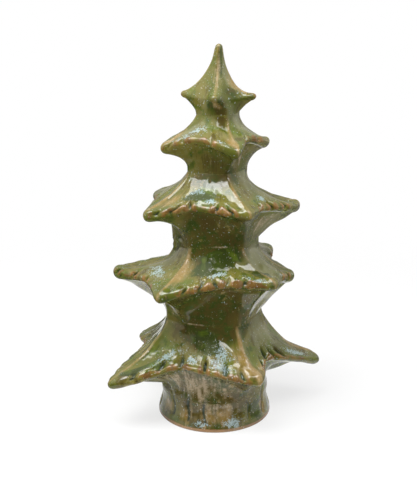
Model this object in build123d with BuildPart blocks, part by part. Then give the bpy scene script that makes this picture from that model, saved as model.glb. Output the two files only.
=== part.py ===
from build123d import *
import math
import os
from collections import namedtuple

os.makedirs("parts", exist_ok=True)

# A hollow stoneware Christmas tree in five flared tiers on a short trunk. Each tier is a section of
# its own, luted to the next at its neck with a ring of slip. The front of the tree faces -Y, and the
# origin is the middle of its foot.

# Height of each section, from the foot up
TRUNK_HEIGHT = 20.0
TIER_FIVE_HEIGHT = 51.0
TIER_FOUR_HEIGHT = 50.5
TIER_THREE_HEIGHT = 45.5
TIER_TWO_HEIGHT = 34.5
SPIRE_HEIGHT = 43.5

# Outer radius of the foot, of the necks where the sections meet, and of the point
FOOT_RADIUS = 39.3
TRUNK_NECK = 37.0
NECK_FOUR = 32.0
NECK_THREE = 27.0
NECK_TWO = 18.7
NECK_ONE = 13.1
POINT_RADIUS = 2.9

# Radius of each rim half way between its tips
TIER_FIVE_RIM = 43.0
TIER_FOUR_RIM = 42.0
TIER_THREE_RIM = 35.0
TIER_TWO_RIM = 26.0
SPIRE_RIM = 17.5

# Radius that the longest tip of each tier reaches
TIER_FIVE_SPREAD = 80.0
TIER_FOUR_SPREAD = 70.0
TIER_THREE_SPREAD = 57.5
TIER_TWO_SPREAD = 38.0
SPIRE_SPREAD = 24.5

# Height of each rim above the foot of its section
TIER_FIVE_LEVEL = 25.0
TIER_FOUR_LEVEL = 30.5
TIER_THREE_LEVEL = 26.0
TIER_TWO_LEVEL = 21.0
SPIRE_LEVEL = 10.0

# Half of the thickness of each rim
TIER_FIVE_LIP = 2.6
TIER_FOUR_LIP = 3.2
TIER_THREE_LIP = 2.8
TIER_TWO_LIP = 2.4
SPIRE_LIP = 2.3

# The wall at a neck and behind a rim, the seams of slip, and the tongue that locates each tier
WALL = 4.6
RIM_WALL = 10.0
SEAM = 1.0
TONGUE_DEPTH = 4.0
TONGUE_WALL = 2.5
TONGUE_CLEARANCE = 0.3

# The foot: the flat ring that it stands on, and the bevel round it
FOOT_RING = 7.0
FOOT_EDGE = 0.8

# How far the corners of each neck stand out, and how far the point stands aside of the foot
NECK_FOUR_CORNER = 3.0
NECK_THREE_CORNER = 3.0
NECK_TWO_CORNER = 2.4
NECK_ONE_CORNER = 1.6
LEAN = 2.5

# How far each neck stands aside, from the trunk's up to the point, as shares of the lean
LEAN_SHARES = (0, -0.6, 0.2, 0.4, 0.75, 1)
# Height of the trunk's waist, and of the hollow in the spire above its rim
TRUNK_WAIST_SHARE = 0.6
SPIRE_HOLLOW_SHARE = 0.3
# The rounding of the point: depth below the top, and radius, as shares of the point's radius
POINT_SHARES = ((0, 0.25), (0.12, 0.62), (0.5, 0.92))

# Full bow of the curve from neck to rim and of the curve under the rim, as shares of drop and run
NECK_DROP_SHARE = 0.52
SHOULDER_PULL_SHARE = 0.45
SHOULDER_RUN_SHARE = 0.1
HEEL_RUN_SHARE = 0.5
HEEL_DROP_SHARE = 0.12
SEAT_DROP_SHARE = 0.5
# A rim is rounded, and thicker and deeper at a tip than between the tips
ROUND_SHARE = 0.55
TIP_LIP_SHARE = 0.4
TIP_DEPTH_SHARE = 0.8
# Slope of the surface above a rim and above a tip, and the rounding of a tip, in degrees
RIM_SLOPE = 38
TIP_SLOPE = 14
BLUNT_ANGLE = 3
# How quickly a tip rises out of the rim
RIDGE_POWER = 2.2

# Where the outlines lie along the flare, round the lip and along the underside, and where an
# outline's points lie between one tip and the next
FLARE_SHARES = (0, 0.15, 0.3, 0.45, 0.6, 0.74, 0.87, 1)
LIP_SHARES = (0.35, 0.7, 1)
UNDER_SHARES = (0.15, 0.3, 0.48, 0.66, 0.83, 1)
COLUMN_SHARES = (0, 0.07, 0.18, 0.34, 0.5, 0.66, 0.82, 0.93)

# How fully the curves above and below the rim are bowed between the tips
Bow = namedtuple("Bow", "above below")
TIER_FIVE_BOW_SHARES = Bow(0.7, 1)
TIER_FOUR_BOW_SHARES = Bow(0.95, 1)
TIER_THREE_BOW_SHARES = Bow(0.95, 1)
TIER_TWO_BOW_SHARES = Bow(0.95, 1)
SPIRE_BOW_SHARES = Bow(0.85, 1)

# Tips of each tier: azimuth from the front and half width in degrees, then how far the half width
# leans to the left as a share of it, the reach as a share of the way from rim to spread, the lift as
# a share of the section's height, and how fully the curves above and below the tip are bowed
Tip = namedtuple("Tip", "azimuth half_width skew reach lift above below")
TIER_FIVE_TIP_SHARES = (
    Tip(-131, 50, 0, 0.78, -0.19, 0.15, 0.9),
    Tip(-62, 40, 0.2, 0.98, -0.245, 0.5, 1.8),
    Tip(32, 42, 0.35, 0.36, -0.12, 0.7, 0.9),
    Tip(102, 38, 0.2, 0.94, -0.32, 0.65, 1.8),
    Tip(168, 44, 0, 0.85, -0.2, 0.6, 1),
)
TIER_FOUR_TIP_SHARES = (
    Tip(-155, 36, 0, 0.6, -0.1, 0.9, 0.9),
    Tip(-95, 44, -0.2, 1, -0.1, 1.9, 0.1),
    Tip(-37, 46, 0, 0.65, -0.13, 0.9, 0.7),
    Tip(48, 38, 0, 0.43, -0.04, 0.9, 0.7),
    Tip(91, 36, 0.25, 0.47, -0.135, 0.9, 0.5),
    Tip(138, 32, 0, 0.75, 0, 0.8, 0.8),
)
TIER_THREE_TIP_SHARES = (
    Tip(-130, 58, 0, 0.93, -0.085, 0.75, 1),
    Tip(-58, 44, 0.25, 0.85, -0.13, 0.7, 1.45),
    Tip(26, 36, 0.1, 0.6, -0.045, 0.9, 1),
    Tip(100, 58, 0.35, 1, -0.135, 1.25, 0.1),
    Tip(166, 44, 0, 0.9, -0.095, 0.9, 0.9),
)
TIER_TWO_TIP_SHARES = (
    Tip(-165, 44, 0, 0.83, -0.175, 0.9, 1),
    Tip(-75, 46, 0.1, 1, -0.2, 0.45, 1),
    Tip(22, 40, 0.3, 0.8, -0.2, 0.9, 1),
    Tip(103, 50, 0.25, 0.83, -0.145, 0.85, 0.9),
)
SPIRE_TIP_SHARES = (
    Tip(-88, 44, 0, 0.88, 0.05, 0.85, 1),
    Tip(-7, 40, 0, 0.25, 0.01, 0.85, 1),
    Tip(85, 44, 0, 1, 0.015, 1, 1),
    Tip(178, 42, 0, 0.8, 0.02, 0.85, 1),
)

# Corners of each neck, where the ridges of the tips below it start: azimuth from the front and half
# width in degrees, then how far the corner stands out, as a share
Corner = namedtuple("Corner", "azimuth half_width out skew", defaults=(0,))
NECK_FOUR_CORNER_SHARES = (
    Corner(-131, 40, 0.8),
    Corner(-60, 44, 1),
    Corner(27, 42, 1),
    Corner(100, 40, 1),
    Corner(168, 40, 0.8),
)
NECK_THREE_CORNER_SHARES = (
    Corner(-155, 36, 0.8),
    Corner(-95, 36, 0.8),
    Corner(-34, 38, 1),
    Corner(36, 38, 1),
    Corner(91, 34, 0.8),
    Corner(145, 34, 0.8),
)
NECK_TWO_CORNER_SHARES = (
    Corner(-130, 42, 0.9),
    Corner(-62, 42, 1),
    Corner(19, 42, 1),
    Corner(100, 42, 1),
    Corner(166, 40, 0.9),
)
NECK_ONE_CORNER_SHARES = (
    Corner(-165, 44, 1),
    Corner(-75, 46, 1),
    Corner(23, 46, 1),
    Corner(103, 44, 1),
)

# The necks from the trunk's up to the point; the trunk's and the point are round
Neck = namedtuple("Neck", "radius corner lean corners")
trunk_neck, neck_four, neck_three, neck_two, neck_one, point = (
    Neck(radius, corner, LEAN * share, corners)
    for radius, corner, share, corners in zip(
        (TRUNK_NECK, NECK_FOUR, NECK_THREE, NECK_TWO, NECK_ONE, POINT_RADIUS),
        (0, NECK_FOUR_CORNER, NECK_THREE_CORNER, NECK_TWO_CORNER, NECK_ONE_CORNER, 0),
        LEAN_SHARES,
        (
            (),
            NECK_FOUR_CORNER_SHARES,
            NECK_THREE_CORNER_SHARES,
            NECK_TWO_CORNER_SHARES,
            NECK_ONE_CORNER_SHARES,
            (),
        ),
    )
)

# The level that each tier stands at, on its seam of slip
tier_five_base = TRUNK_HEIGHT + SEAM
tier_four_base = tier_five_base + TIER_FIVE_HEIGHT + SEAM
tier_three_base = tier_four_base + TIER_FOUR_HEIGHT + SEAM
tier_two_base = tier_three_base + TIER_THREE_HEIGHT + SEAM
spire_base = tier_two_base + TIER_TWO_HEIGHT + SEAM

# The tiers from the lowest up, each between the neck that it is seated on and its own
Tier = namedtuple("Tier", "base height rim spread level lip bow tips seat neck")
tier_five = Tier(
    tier_five_base, TIER_FIVE_HEIGHT, TIER_FIVE_RIM, TIER_FIVE_SPREAD, TIER_FIVE_LEVEL, TIER_FIVE_LIP,
    TIER_FIVE_BOW_SHARES, TIER_FIVE_TIP_SHARES, trunk_neck, neck_four,
)
tier_four = Tier(
    tier_four_base, TIER_FOUR_HEIGHT, TIER_FOUR_RIM, TIER_FOUR_SPREAD, TIER_FOUR_LEVEL, TIER_FOUR_LIP,
    TIER_FOUR_BOW_SHARES, TIER_FOUR_TIP_SHARES, neck_four, neck_three,
)
tier_three = Tier(
    tier_three_base, TIER_THREE_HEIGHT, TIER_THREE_RIM, TIER_THREE_SPREAD, TIER_THREE_LEVEL, TIER_THREE_LIP,
    TIER_THREE_BOW_SHARES, TIER_THREE_TIP_SHARES, neck_three, neck_two,
)
tier_two = Tier(
    tier_two_base, TIER_TWO_HEIGHT, TIER_TWO_RIM, TIER_TWO_SPREAD, TIER_TWO_LEVEL, TIER_TWO_LIP,
    TIER_TWO_BOW_SHARES, TIER_TWO_TIP_SHARES, neck_two, neck_one,
)
spire = Tier(
    spire_base, SPIRE_HEIGHT, SPIRE_RIM, SPIRE_SPREAD, SPIRE_LEVEL, SPIRE_LIP,
    SPIRE_BOW_SHARES, SPIRE_TIP_SHARES, neck_one, point,
)


def ridge(azimuth, tip):
    """How much of a tip or corner is felt at an azimuth: all on its ridge, none past its half width."""
    away = (azimuth - tip.azimuth + 180) % 360 - 180
    half_width = tip.half_width * (1 - tip.skew * math.copysign(1, away))
    away = math.hypot(away, BLUNT_ANGLE) - BLUNT_ANGLE
    return max(0, 1 - away / half_width) ** RIDGE_POWER


def neck_radius(neck, azimuth):
    """A neck stands out at its corners, and is nearly flat between them."""
    return neck.radius + neck.corner * sum(corner.out * ridge(azimuth, corner) for corner in neck.corners)


def bowed(start, start_handle, end_handle, end, bow, shares):
    """Points along a curve between two ends: straight with no bow, drawn to its handles with a full one."""
    first = (start * 2 + end) / 3
    second = (start + end * 2) / 3
    first += (start_handle - first) * bow
    second += (end_handle - second) * bow
    return [
        start * (1 - t) ** 3 + first * 3 * t * (1 - t) ** 2 + second * 3 * t**2 * (1 - t) + end * t**3
        for t in shares
    ]


def profile(tier, azimuth):
    """The outer surface at one azimuth, from the neck above to the neck below, as radii and heights."""
    felt = [ridge(azimuth, tip) for tip in tier.tips]
    tip_share = min(1, sum(felt))
    bow_above = tier.bow.above
    bow_below = tier.bow.below
    reach = tier.rim
    level = tier.base + tier.level
    for tip, part in zip(tier.tips, felt):
        bow_above += (tip.above - tier.bow.above) * part
        bow_below += (tip.below - tier.bow.below) * part
        reach += (tier.spread - tier.rim) * tip.reach * part
        level += tier.height * tip.lift * part
    lip = tier.lip * (1 + TIP_LIP_SHARE * tip_share)
    depth = tier.lip * (1 + TIP_DEPTH_SHARE * tip_share)
    slope = math.radians(RIM_SLOPE + (TIP_SLOPE - RIM_SLOPE) * tip_share)
    outward = Vector(math.cos(slope), -math.sin(slope))
    up = Vector(0, 1)

    top = Vector(neck_radius(tier.neck, azimuth), tier.base + tier.height)
    shoulder = Vector(reach - depth, level + lip)
    edge = Vector(reach, level)
    heel = Vector(reach - depth, level - lip)
    seat = Vector(neck_radius(tier.seat, azimuth), tier.base)

    run = shoulder.X - top.X
    drop = top.Y - shoulder.Y
    pull = SHOULDER_PULL_SHARE * min(run, drop) + SHOULDER_RUN_SHARE * run
    below_neck = top - up * NECK_DROP_SHARE * drop
    points = bowed(top, below_neck, shoulder - outward * pull, shoulder, bow_above, FLARE_SHARES)

    round_out = outward * ROUND_SHARE * depth
    round_up = up * ROUND_SHARE * lip
    round_in = Vector(ROUND_SHARE * depth, 0)
    points += bowed(shoulder, shoulder + round_out, edge + round_up, edge, 1, LIP_SHARES)
    points += bowed(edge, edge - round_up, heel + round_in, heel, 1, LIP_SHARES)

    run = heel.X - seat.X
    drop = heel.Y - seat.Y
    under = heel - Vector(HEEL_RUN_SHARE * run, HEEL_DROP_SHARE * drop)
    above_seat = seat + up * SEAT_DROP_SHARE * drop
    points += bowed(heel, under, above_seat, seat, bow_below, UNDER_SHARES)
    return points


def columns(tips):
    """Azimuths of an outline's points: on every tip, and closer together beside it."""
    azimuths = []
    for tip, following in zip(tips, tips[1:] + tips[:1]):
        gap = (following.azimuth - tip.azimuth) % 360
        azimuths += [tip.azimuth + gap * share for share in COLUMN_SHARES]
    return azimuths


def outline(points, azimuths):
    """A closed smooth curve through the points of one outline, paced by azimuth."""
    turns = [(azimuth - azimuths[0]) / 360 for azimuth in azimuths] + [1]
    return Edge.make_spline(points, periodic=True, parameters=turns)


def around(radius, height, azimuth, lean):
    """The place of a point at a radius from an axis that leans aside, with azimuth 0 at the front."""
    angle = math.radians(azimuth)
    return Vector(lean + radius * math.sin(angle), -radius * math.cos(angle), height)


def outer_form(tier):
    """The solid outer form of a tier, lofted through its outlines, which dip and rise with the tips."""
    azimuths = columns(tier.tips)
    rows = list(zip(*(profile(tier, azimuth) for azimuth in azimuths)))
    if tier.neck is point:
        top = tier.base + tier.height
        rounding = [
            [Vector(point.radius * width, top - point.radius * depth)] * len(azimuths)
            for depth, width in POINT_SHARES
        ]
        rows = rounding + rows[1:]
    wires = []
    for row in rows:
        points = []
        for place, azimuth in zip(row, azimuths):
            rise = (place.Y - tier.base) / tier.height
            lean = tier.seat.lean + (tier.neck.lean - tier.seat.lean) * rise
            points.append(around(place.X, place.Y, azimuth, lean))
        with BuildLine() as ring:
            add(outline(points, azimuths))
        wires.append(ring.wire())
    return Solid.make_loft(wires, ruled=True)


def bore_radius(neck):
    """Radius of the hollow in a neck, where the tongue of the section above sits."""
    return neck.radius - WALL


def tier_section(tier):
    """A tier: its outer form, hollowed inside, with the tongue that locates it on the section below."""
    top = tier.base + tier.height
    tongue = bore_radius(tier.seat) - TONGUE_CLEARANCE
    tongue_foot = tier.base - SEAM - TONGUE_DEPTH
    throat = (tongue - TONGUE_WALL, tier.base)
    mouth = (tongue - TONGUE_WALL, tongue_foot)
    belly = (tier.rim - RIM_WALL, tier.base + tier.level)
    bore_end = (bore_radius(tier.neck), top - TONGUE_DEPTH - SEAM)
    bore_top = (bore_radius(tier.neck), top)
    spire_roof = (0, tier.base + tier.level + (tier.height - tier.level) * SPIRE_HOLLOW_SHARE)
    with BuildPart() as section:
        add(outer_form(tier))
        with BuildSketch(Plane.XY.offset(tongue_foot)):
            Circle(tongue)
        extrude(amount=SEAM + TONGUE_DEPTH)
        with BuildSketch(Plane.XZ):
            with BuildLine():
                if tier.neck is point:
                    Spline(throat, belly, spire_roof, tangents=((0, 1), (-1, 0)))
                    Polyline(spire_roof, (0, tongue_foot), mouth, throat)
                else:
                    Spline(throat, belly, bore_end, tangents=((0, 1), (0, 1)))
                    Polyline(bore_end, bore_top, (0, top), (0, tongue_foot), mouth, throat)
            make_face()
        revolve(axis=Axis.Z, mode=Mode.SUBTRACT)
    return section.part


def seam(tier):
    """The ring of slip under a tier, as wide as the neck that the tier is seated on."""
    with BuildPart() as ring:
        with BuildSketch(Plane.XY.offset(tier.base - SEAM)):
            if tier.seat.corners:
                azimuths = columns(tier.seat.corners)
                points = [around(neck_radius(tier.seat, a), 0, a, tier.seat.lean) for a in azimuths]
                with BuildLine():
                    add(outline(points, azimuths))
                make_face()
            else:
                Circle(tier.seat.radius)
            Circle(bore_radius(tier.seat), mode=Mode.SUBTRACT)
        extrude(amount=SEAM)
    return ring.part


# The trunk is a turned drum, open below, that stands on a flat ring of bare clay
with BuildPart() as trunk_section:
    trunk_bore = bore_radius(trunk_neck)
    trunk_mouth = FOOT_RADIUS - FOOT_RING
    foot_edge = (FOOT_RADIUS, FOOT_EDGE)
    trunk_waist = (TRUNK_NECK, TRUNK_HEIGHT * TRUNK_WAIST_SHARE)
    trunk_top = (TRUNK_NECK, TRUNK_HEIGHT)
    with BuildSketch(Plane.XZ):
        with BuildLine():
            Polyline((trunk_mouth, 0), (FOOT_RADIUS - FOOT_EDGE, 0), foot_edge)
            Spline(foot_edge, trunk_waist, trunk_top, tangents=((0, 1), (0, 1)))
            Polyline(
                trunk_top,
                (trunk_bore, TRUNK_HEIGHT),
                (trunk_bore, TRUNK_HEIGHT - TONGUE_DEPTH - SEAM),
                (trunk_mouth, 0),
            )
        make_face()
    revolve(axis=Axis.Z)

pieces = {
    "trunk_section": trunk_section.part,
    "trunk_seam": seam(tier_five),
    "tier_five_section": tier_section(tier_five),
    "neck_four_seam": seam(tier_four),
    "tier_four_section": tier_section(tier_four),
    "neck_three_seam": seam(tier_three),
    "tier_three_section": tier_section(tier_three),
    "neck_two_seam": seam(tier_two),
    "tier_two_section": tier_section(tier_two),
    "neck_one_seam": seam(spire),
    "spire_section": tier_section(spire),
}
for name, piece in pieces.items():
    piece.label = name
    export_step(piece, f"parts/{name}.step")
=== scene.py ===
"""Looks of a hollow stoneware Christmas tree: five pinched tiers on a short trunk, luted at their necks,
with tool nicks along the rims and a glossy green glaze that breaks to brown on the edges."""

import math
from collections import namedtuple

import bmesh
import bpy
import numpy as np
from bpy.props import FloatProperty, FloatVectorProperty, PointerProperty
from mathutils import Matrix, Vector


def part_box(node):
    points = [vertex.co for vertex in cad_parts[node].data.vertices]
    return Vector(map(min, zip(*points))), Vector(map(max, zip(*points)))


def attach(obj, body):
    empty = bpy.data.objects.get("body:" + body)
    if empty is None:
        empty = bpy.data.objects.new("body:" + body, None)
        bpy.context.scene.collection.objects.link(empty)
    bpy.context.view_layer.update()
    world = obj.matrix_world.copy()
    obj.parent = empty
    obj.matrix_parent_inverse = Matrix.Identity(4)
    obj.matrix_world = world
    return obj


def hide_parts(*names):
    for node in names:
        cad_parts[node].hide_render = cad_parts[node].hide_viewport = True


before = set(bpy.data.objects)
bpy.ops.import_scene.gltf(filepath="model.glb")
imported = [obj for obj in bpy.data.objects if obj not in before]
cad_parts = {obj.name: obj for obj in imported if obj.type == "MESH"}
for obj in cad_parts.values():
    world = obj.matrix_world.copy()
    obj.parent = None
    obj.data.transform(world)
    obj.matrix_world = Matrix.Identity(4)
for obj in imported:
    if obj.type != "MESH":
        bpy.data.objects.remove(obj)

bl_info = {
    "name": "Stoneware Tree",
    "version": (1, 0, 0),
    "blender": (4, 5, 0),
    "location": "3D View > Sidebar > Tree",
    "description": "Models a hollow stoneware Christmas tree around its fixed frame, and glazes it",
    "category": "Object",
}

BODY = "root"
MM = 0.001
QUARTER = math.pi / 2
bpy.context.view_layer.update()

# The form of the clay, in metres and degrees, with azimuth 0 at the front and growing to the right. A tip's
# reach is a share of its tier's spread and its lift a share of the tier's height, and above and below say
# how far the curves over and under it bow.
Tip = namedtuple("Tip", "azimuth half_width skew reach lift above below")
Corner = namedtuple("Corner", "azimuth half_width out skew", defaults=(0,))
Neck = namedtuple("Neck", "radius corner lean corners")
Tier = namedtuple("Tier", "name base height rim spread level lip bow tips seat neck cut nicks")
Cut = namedtuple("Cut", "middle half_length half_width depth burr")

TIER_FIVE_TIPS = (
    Tip(-131, 50, 0, 0.78, -0.19, 0.45, 0.9),
    Tip(-62, 40, 0.2, 0.98, -0.245, 0.5, 1.8),
    Tip(32, 42, 0.35, 0.36, -0.12, 0.7, 0.9),
    Tip(102, 38, 0.2, 0.94, -0.32, 0.65, 1.8),
    Tip(168, 44, 0, 0.85, -0.2, 0.6, 1),
)
TIER_FOUR_TIPS = (
    Tip(-155, 36, 0, 0.6, -0.1, 0.9, 0.9),
    Tip(-95, 44, -0.2, 0.98, -0.092, 2.2, 0.25),
    Tip(-37, 46, 0, 0.65, -0.13, 0.9, 0.7),
    Tip(48, 38, 0, 0.43, -0.04, 0.9, 0.7),
    Tip(91, 36, 0.25, 0.47, -0.135, 0.9, 0.1),
    Tip(138, 32, 0, 0.75, 0, 0.8, 0.8),
)
TIER_THREE_TIPS = (
    Tip(-130, 58, 0, 0.92, -0.085, 0.9, 1),
    Tip(-58, 44, 0.25, 0.85, -0.13, 0.7, 1.45),
    Tip(26, 36, 0.1, 0.6, -0.045, 0.5, 1),
    Tip(100, 58, 0.35, 1, -0.135, 1.25, 0.1),
    Tip(166, 44, 0, 0.9, -0.095, 0.9, 0.9),
)
TIER_TWO_TIPS = (
    Tip(-165, 44, 0, 0.83, -0.175, 0.9, 1),
    Tip(-75, 46, 0.1, 1, -0.2, 0.45, 1),
    Tip(22, 40, 0.3, 0.8, -0.2, 0.9, 1),
    Tip(103, 50, 0.25, 0.83, -0.145, 0.85, 0.9),
)
SPIRE_TIPS = (
    Tip(-88, 36, 0, 0.96, 0.05, 0.85, 0.25),
    Tip(-9, 32, 0, 0.36, 0, 0.85, 0.6),
    Tip(85, 38, 0, 1, 0.015, 1, 0.3),
    Tip(178, 38, 0, 0.83, 0.02, 0.85, 0.4),
)

# The corners that the ridges of each tier start from, on the neck above it
NECK_FOUR_CORNERS = (
    Corner(-131, 40, 0.8),
    Corner(-60, 44, 1),
    Corner(27, 42, 1),
    Corner(100, 40, 1),
    Corner(168, 40, 0.8),
)
NECK_THREE_CORNERS = (
    Corner(-155, 36, 0.8),
    Corner(-95, 36, 0.75),
    Corner(-34, 38, 1),
    Corner(36, 38, 1),
    Corner(91, 34, 0.8),
    Corner(145, 34, 0.8),
)
NECK_TWO_CORNERS = (
    Corner(-130, 42, 0.9),
    Corner(-62, 42, 1),
    Corner(19, 42, 1),
    Corner(100, 42, 1),
    Corner(166, 40, 0.9),
)
NECK_ONE_CORNERS = (
    Corner(-165, 44, 1),
    Corner(-75, 46, 1),
    Corner(23, 46, 1),
    Corner(103, 44, 1),
)

# The nicks that a tool has cut in each rim, by azimuth, and the size of a cut in each kind of rim
TIER_FIVE_NICKS = (
    -54, -44, -31, -8, 9, 22, 46, 58, 67, 76, 122, 138, 151, -169, -156, -145, -113, -98, -84)
TIER_FOUR_NICKS = (-90, -76, -62, -22, -11, 1, 12, 26, 70, 81, 110, 122, 156, 170, -176, -136, -121)
TIER_THREE_NICKS = (-51, -42, -29, 0, 12, 46, 62, 78, 122, 142, -84, -100, -151, -171, -184)
TIER_TWO_NICKS = (-66, -53, -10, 45, 72, 130, 152, -112, -135)
GOUGE = Cut(-0.0042, 0.0048, 0.0015, 0.0030, 0.0007)
NICK = Cut(-0.0014, 0.0040, 0.0013, 0.0028, 0.0006)
SMALL_NICK = Cut(-0.0012, 0.0034, 0.0012, 0.0020, 0.0004)

# Spots on a piece: azimuth, then in mm the distance along from the rim's edge, which is negative above it,
# half width, half height and, in the clay, depth
Spot = namedtuple("Spot", "azimuth along half_width half_height depth", defaults=(0,))

# Hollows that fingers have pressed in the flares and under the ends of the tips
HOLLOWS = {
    "tier_five": ((-12, -18, 13, 8, 0.8), (13, -26.5, 6, 5.5, 1.8), (135, -16, 12, 8, 0.7),
                  (-62, -20, 10, 12, 0.9), (100, 20, 18, 12, 3.6), (-64, 19, 18, 10, 2.6)),
    "tier_four": ((6, -13, 12, 6, 0.7), (-125, -13, 10, 6, 0.6), (-120, -16, 20, 12, 2.8),
                  (-97, -22, 12, 10, 0.8)),
    "tier_three": ((-27, -11.5, 10, 4.8, 0.5), (-8, -17, 10, 11, 0.6), (150, -12, 9, 5, 0.6),
                   (100, -12, 12, 8, 2.1)),
    "tier_two": ((-20, -8, 7, 4, 0.5), (103, -8, 6, 6, 0.9)),
    "spire": ((-38, -1, 4, 6, 1.4), (26, -1, 4, 6, 1.4), (85, -12, 7, 9, 1.2)),
}

# Fuller places: knobs at the ends of the tips, swollen undersides, and a full neck on tier four
KNOBS = {
    "tier_five": ((-131, -6, 12, 10, 0.8), (102, -11, 11, 10, 1.6), (102, 7.5, 8, 5, 1),
                  (-58, -9, 9, 10, 1.2), (34, -6, 9, 8, 1.8), (10, -19, 7, 5, 1.3)),
    "tier_four": ((91, -3, 5, 4, 1), (-95, -3.5, 6, 4.5, 0.7), (138, -3, 6, 4.5, 1),
                  (91, 10, 12, 8, 0.6), (-95, 6, 8, 6, 1), (-97, -49, 12, 6.5, 2.4)),
    "tier_three": ((100, -3.5, 6, 4.5, 1.4), (-58, -3.5, 6, 4.5, 0.9), (100, 4, 6, 4, 1),
                   (100, 13, 12, 8, 1.4)),
    "tier_two": ((103, -3, 4.5, 3.5, 1), (-75, -3, 4.5, 3.5, 0.6)),
    "spire": ((85, -1.5, 3, 3, 0.8), (-88, -1.5, 3, 3, 0.8), (-9, -0.2, 4.2, 3.4, 2.8)),
}

# Where the glaze is frosted, clear green, thin and amber, chalky, dull or milky, and spots of painted shade
BLOOMS = {
    "frost": {
        "tier_two": ((-48, -4, 6, 2.2), (-46, -11, 7, 4), (4, -4, 4, 2), (140, -6, 6, 3)),
        "tier_three": ((-29, -14, 5, 2), (-8, -7, 4, 2), (57, -8, 4, 3), (145, -10, 8, 4), (-165, -8, 7, 3)),
        "tier_four": ((2, -9, 7, 2.5), (-60, -12, 10, 6), (38, -4, 6, 2.5), (67, -3, 5, 2.5),
                      (155, -9, 9, 4), (-130, -8, 7, 4)),
        "tier_five": ((10, -17, 7, 5), (6, -7, 6, 5), (-43, -14, 6, 5), (-21, -6, 4, 4), (90, -9, 8, 5),
                      (140, -12, 8, 6), (-150, -10, 9, 6)),
        "trunk": ((14, -6, 6, 4), (-150, -7, 7, 4), (120, -9, 6, 5), (-14, -5, 7, 4), (22, -6, 4, 4)),
    },
    "green": {
        "spire": ((13, -26, 2, 12),),
        "tier_three": ((-21, -11, 12, 6), (140, -13, 11, 6)),
        "tier_four": ((-2, -18, 16, 10), (45, -11, 7, 4), (168, -14, 13, 6)),
        "tier_five": ((-55, -11, 8, 5), (-6, -20, 12, 8), (150, -16, 14, 8)),
        "trunk": ((52, -11, 10, 8),),
    },
    "amber": {
        "spire": ((72, -10, 6, 10), (0, 6, 4, 3)),
        "tier_two": ((18, -8, 4, 6), (-70, -10, 4, 8)),
        "tier_three": ((-52, -16, 5, 10),),
        "tier_four": ((-31, -22, 6, 12), (-150, -16, 6, 10)),
        "tier_five": ((25, -15, 6, 14), (100, -20, 6, 14), (36, -5, 9, 6)),
        "trunk": ((-58, -11, 10, 9), (-29, -10, 6, 10), (-9, -10, 6, 10), (12, -12, 7, 9), (62, -10, 5, 10)),
    },
    "film": {
        # On the spire, a pale line down the front ridge: partly the ridge's own pale colour, partly a
        # painted highlight
        "spire": ((-8, -18, 2.4, 13),),
        "tier_two": ((50, 12, 7, 9),),
        "tier_three": ((70, 16, 8, 10),),
        "neck_three_seam": ((6, -29.5, 7, 10),),
        "tier_four": ((60, 24, 6, 8),),
        "neck_four_seam": ((-24, -29.5, 10, 10),),
        "tier_five": ((-16, 16, 26, 13), (-58, 12, 12, 8), (130, 13, 22, 9), (-140, 12, 18, 8)),
        "trunk_seam": ((-20, -19.5, 24, 10),),
        "trunk": ((2, -18, 16, 5),),
    },
    "dull": {
        "spire": ((-44, -12, 10, 12), (-78, -6, 8, 6), (14, -8, 5, 6)),
        "tier_two": ((-22, -17, 7, 5),),
        "tier_three": ((-20, -10.5, 12, 4.8),),
        "tier_four": ((-24, -15, 13, 9), (-33, -24, 8, 8)),
        "tier_five": ((-60, -15, 13, 13),),
    },
    # Spots of painted shade: on the flares just below the necks, front and back, under the spire's brim and
    # on the trunk
    "dusk": {
        "spire": ((-4, 4, 7, 4), (8, 11, 3, 6), (45, -3, 5, 4)),
        "tier_two": ((8, -29, 2.8, 9),),
        "tier_three": ((-16, -26, 13, 8), (150, -25, 14, 9)),
        "tier_four": ((-2, -22, 17, 13), (165, -24, 18, 11), (-120, -24, 16, 10)),
        "tier_five": ((-6, -33, 21, 13), (-14, -20, 12, 8), (140, -32, 22, 12), (-150, -30, 22, 14)),
        "trunk": ((-8, -10, 13, 9), (170, -10, 30, 12)),
    },
    "milk": {
        "spire": ((50, -16, 4, 10), (150, -16, 8, 14)),
        "tier_two": ((-62, -12, 8, 10), (70, -12, 9, 12)),
        "tier_three": ((68, -20, 12, 14), (75, 18, 12, 12), (-110, -18, 14, 12)),
        "tier_four": ((-72, -20, 12, 14), (66, -22, 12, 14), (70, 20, 12, 12), (120, -20, 14, 14),
                      (52, -16, 8, 10)),
        "tier_five": ((68, -28, 14, 18), (-100, -24, 16, 16), (175, -26, 16, 16)),
    },
}
BLOOM_LIMIT = 1.2

# Grooves that a tool has drawn up the trunk and over its seam: azimuth, depth as a share, and levels in mm
TRUNK_GROOVES = (
    (-49, 0.8, 3, 24), (-29, 1, 3, 27), (-11, 0.9, 2, 25), (2, 0.5, 1, 22), (20, 0.4, 4, 21),
    (38, 0.7, 3, 23), (62, 0.9, 3, 26), (88, 0.7, 2, 23), (117, 0.9, 3, 26), (139, 0.6, 3, 22),
    (163, 0.9, 2, 25), (-169, 0.7, 3, 26), (-140, 0.9, 3, 23), (-115, 0.6, 3, 22), (-82, 0.9, 2, 26),
)
GROOVE_WANDER, GROOVE_PACE = 0.0007, 420
GROOVE_START, GROOVE_END = 0.004, 0.007

LEAN = 0.0025
trunk_neck = Neck(0.037, 0, 0, ())
neck_four = Neck(0.0320, 0.0030, -0.6 * LEAN, NECK_FOUR_CORNERS)
neck_three = Neck(0.0270, 0.0030, 0.2 * LEAN, NECK_THREE_CORNERS)
neck_two = Neck(0.0187, 0.0024, 0.4 * LEAN, NECK_TWO_CORNERS)
neck_one = Neck(0.0131, 0.0016, 0.75 * LEAN, NECK_ONE_CORNERS)
point = Neck(0.0024, 0, LEAN, ())


def stand(below, above=None):
    """Base and height of a tier, from the seam of slip that it stands on and the one above it."""
    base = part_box(below)[1].z
    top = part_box(above)[0].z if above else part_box("spire_section")[1].z
    return base, top - base


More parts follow.
